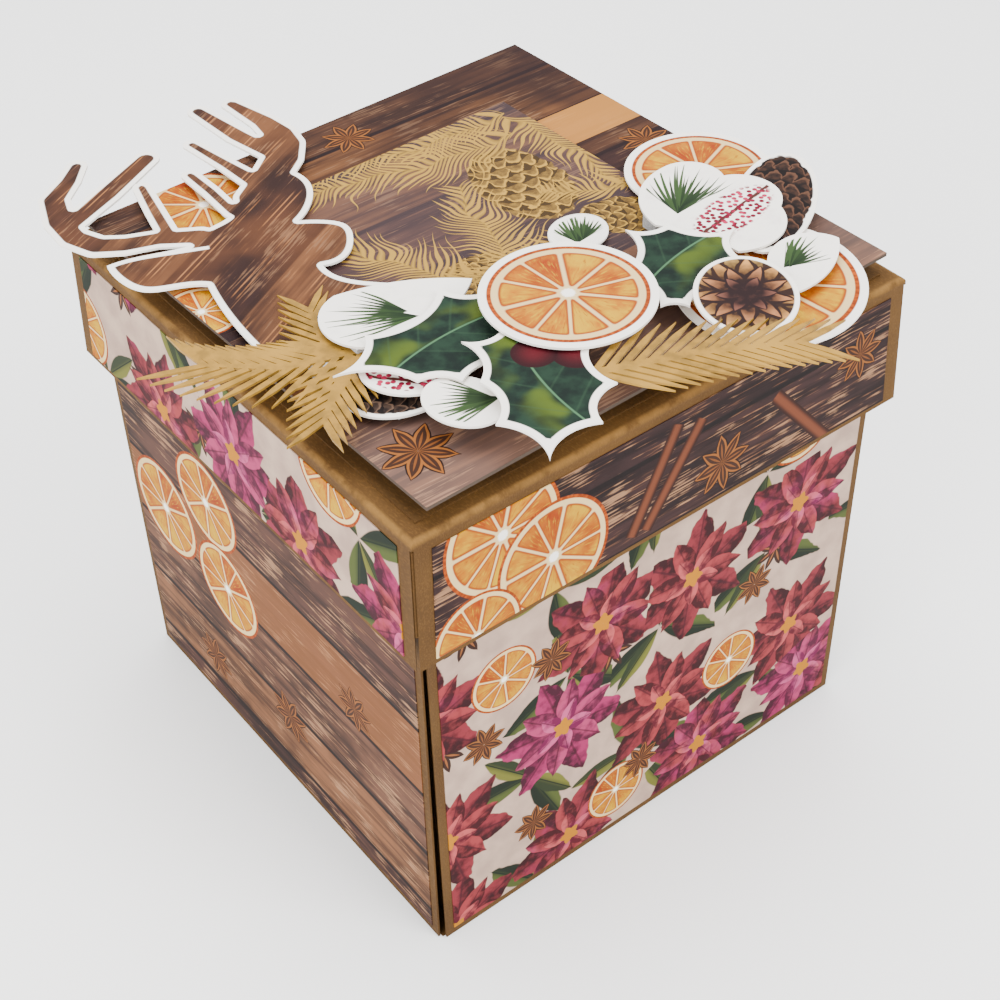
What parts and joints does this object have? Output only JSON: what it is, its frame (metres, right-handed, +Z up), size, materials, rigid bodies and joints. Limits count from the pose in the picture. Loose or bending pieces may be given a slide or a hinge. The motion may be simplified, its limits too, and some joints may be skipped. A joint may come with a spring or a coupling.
{
  "type": "explosion box",
  "caption": "Square handmade card explosion box with a lift-off lid, nested fold-out walls, winter-pattern papers and layered die-cut decorations on top.",
  "frame": {"origin": "centre of the square base on its underside, where the box rests on the table", "axes": "+Z up; -Y is the face to the right of the nearest corner in the picture, -X the face to its left; the box is square to X and Y"},
  "size_m": [0.1463, 0.1663, 0.1365],
  "materials": {
    "berry_print": "printed die-cut card with white border",
    "cone_print": "printed die-cut card",
    "cream_paper": "plain lining paper",
    "deer_print": "printed die-cut card with white border",
    "floral_print": "printed paper, floral pattern on off-white",
    "foam": "white adhesive foam",
    "gold_print": "printed and gold-foiled card",
    "holly_print": "printed die-cut card",
    "kraft_card": "uncoated folded card",
    "orange_print": "printed die-cut card",
    "pine_print": "printed die-cut card with white border",
    "plank_print": "printed paper, wood-plank pattern"
  },
  "bodies": {
    "box": {"inner_floor": "kraft_card", "inner_floor_lining": "cream_paper", "middle_floor": "kraft_card", "middle_floor_lining": "cream_paper", "outer_floor": "kraft_card"},
    "lid": {"back_orange_slice": "orange_print", "back_skirt_paper": "plank_print", "centre_orange_slice": "orange_print", "centre_panel": "gold_print", "deer_head": "deer_print", "foam_pads": "foam", "front_fir_sprig": "gold_print", "front_holly_leaf": "holly_print", "front_pine_spray": "pine_print", "front_skirt_paper": "plank_print", "left_berry_spray": "berry_print", "left_fir_cone": "cone_print", "left_fir_sprig": "gold_print", "left_holly_leaf": "holly_print", "left_pine_spray": "pine_print", "left_skirt_paper": "floral_print", "lid": "kraft_card", "lid_mat": "kraft_card", "middle_pine_spray": "pine_print", "right_berry_spray": "berry_print", "right_holly_leaf": "holly_print", "right_orange_slice": "orange_print", "right_pine_spray": "pine_print", "right_skirt_paper": "floral_print", "round_fir_cone": "cone_print", "tall_fir_cone": "cone_print", "top_panel": "plank_print"},
    "front_outer": {"front_outer_wall": "kraft_card", "front_outer_wall_lining": "cream_paper", "front_wall_paper": "floral_print"},
    "front_middle": {"front_middle_wall": "kraft_card", "front_middle_wall_lining": "cream_paper"},
    "front_inner": {"front_inner_wall": "kraft_card", "front_inner_wall_lining": "cream_paper"},
    "right_outer": {"right_outer_wall": "kraft_card", "right_outer_wall_lining": "cream_paper", "right_wall_paper": "plank_print"},
    "right_middle": {"right_middle_wall": "kraft_card", "right_middle_wall_lining": "cream_paper"},
    "right_inner": {"right_inner_wall": "kraft_card", "right_inner_wall_lining": "cream_paper"},
    "back_outer": {"back_outer_wall": "kraft_card", "back_outer_wall_lining": "cream_paper", "back_wall_paper": "floral_print"},
    "back_middle": {"back_middle_wall": "kraft_card", "back_middle_wall_lining": "cream_paper"},
    "back_inner": {"back_inner_wall": "kraft_card", "back_inner_wall_lining": "cream_paper"},
    "left_outer": {"left_outer_wall": "kraft_card", "left_outer_wall_lining": "cream_paper", "left_wall_paper": "plank_print"},
    "left_middle": {"left_middle_wall": "kraft_card", "left_middle_wall_lining": "cream_paper"},
    "left_inner": {"left_inner_wall": "kraft_card", "left_inner_wall_lining": "cream_paper"}
  },
  "joints": [
    {"name": "lid_lift", "type": "slide", "parent": "box", "child": "lid", "axis": [0, 0, 1], "range_m": [0, 2.4]},
    {"name": "front_outer_fold", "type": "hinge", "parent": "box", "child": "front_outer", "pos_m": [0, -0.0598, 0], "axis": [1, 0, 0], "range_deg": [0, 90]},
    {"name": "front_middle_fold", "type": "hinge", "parent": "box", "child": "front_middle", "pos_m": [0, -0.0548, 0.00093], "axis": [1, 0, 0], "range_deg": [0, 90]},
    {"name": "front_inner_fold", "type": "hinge", "parent": "box", "child": "front_inner", "pos_m": [0, -0.0498, 0.00161], "axis": [1, 0, 0], "range_deg": [0, 90]},
    {"name": "right_outer_fold", "type": "hinge", "parent": "box", "child": "right_outer", "pos_m": [0.0598, 0, 0], "axis": [0, 1, 0], "range_deg": [0, 90]},
    {"name": "right_middle_fold", "type": "hinge", "parent": "box", "child": "right_middle", "pos_m": [0.0548, 0, 0.00093], "axis": [0, 1, 0], "range_deg": [0, 90]},
    {"name": "right_inner_fold", "type": "hinge", "parent": "box", "child": "right_inner", "pos_m": [0.0498, 0, 0.00161], "axis": [0, 1, 0], "range_deg": [0, 90]},
    {"name": "back_outer_fold", "type": "hinge", "parent": "box", "child": "back_outer", "pos_m": [0, 0.0598, 0], "axis": [-1, 0, 0], "range_deg": [0, 90]},
    {"name": "back_middle_fold", "type": "hinge", "parent": "box", "child": "back_middle", "pos_m": [0, 0.0548, 0.00093], "axis": [-1, 0, 0], "range_deg": [0, 90]},
    {"name": "back_inner_fold", "type": "hinge", "parent": "box", "child": "back_inner", "pos_m": [0, 0.0498, 0.00161], "axis": [-1, 0, 0], "range_deg": [0, 90]},
    {"name": "left_outer_fold", "type": "hinge", "parent": "box", "child": "left_outer", "pos_m": [-0.0598, 0, 0], "axis": [0, -1, 0], "range_deg": [0, 90]},
    {"name": "left_middle_fold", "type": "hinge", "parent": "box", "child": "left_middle", "pos_m": [-0.0548, 0, 0.00093], "axis": [0, -1, 0], "range_deg": [0, 90]},
    {"name": "left_inner_fold", "type": "hinge", "parent": "box", "child": "left_inner", "pos_m": [-0.0498, 0, 0.00161], "axis": [0, -1, 0], "range_deg": [0, 90]}
  ],
  "couplings": [
    {"joint": "front_outer_fold", "follows": "lid_lift", "rad_per_m": 0.6545},
    {"joint": "front_middle_fold", "follows": "lid_lift", "rad_per_m": 0.6545},
    {"joint": "front_inner_fold", "follows": "lid_lift", "rad_per_m": 0.6545},
    {"joint": "right_outer_fold", "follows": "lid_lift", "rad_per_m": 0.6545},
    {"joint": "right_middle_fold", "follows": "lid_lift", "rad_per_m": 0.6545},
    {"joint": "right_inner_fold", "follows": "lid_lift", "rad_per_m": 0.6545},
    {"joint": "back_outer_fold", "follows": "lid_lift", "rad_per_m": 0.6545},
    {"joint": "back_middle_fold", "follows": "lid_lift", "rad_per_m": 0.6545},
    {"joint": "back_inner_fold", "follows": "lid_lift", "rad_per_m": 0.6545},
    {"joint": "left_outer_fold", "follows": "lid_lift", "rad_per_m": 0.6545},
    {"joint": "left_middle_fold", "follows": "lid_lift", "rad_per_m": 0.6545},
    {"joint": "left_inner_fold", "follows": "lid_lift", "rad_per_m": 0.6545}
  ]
}
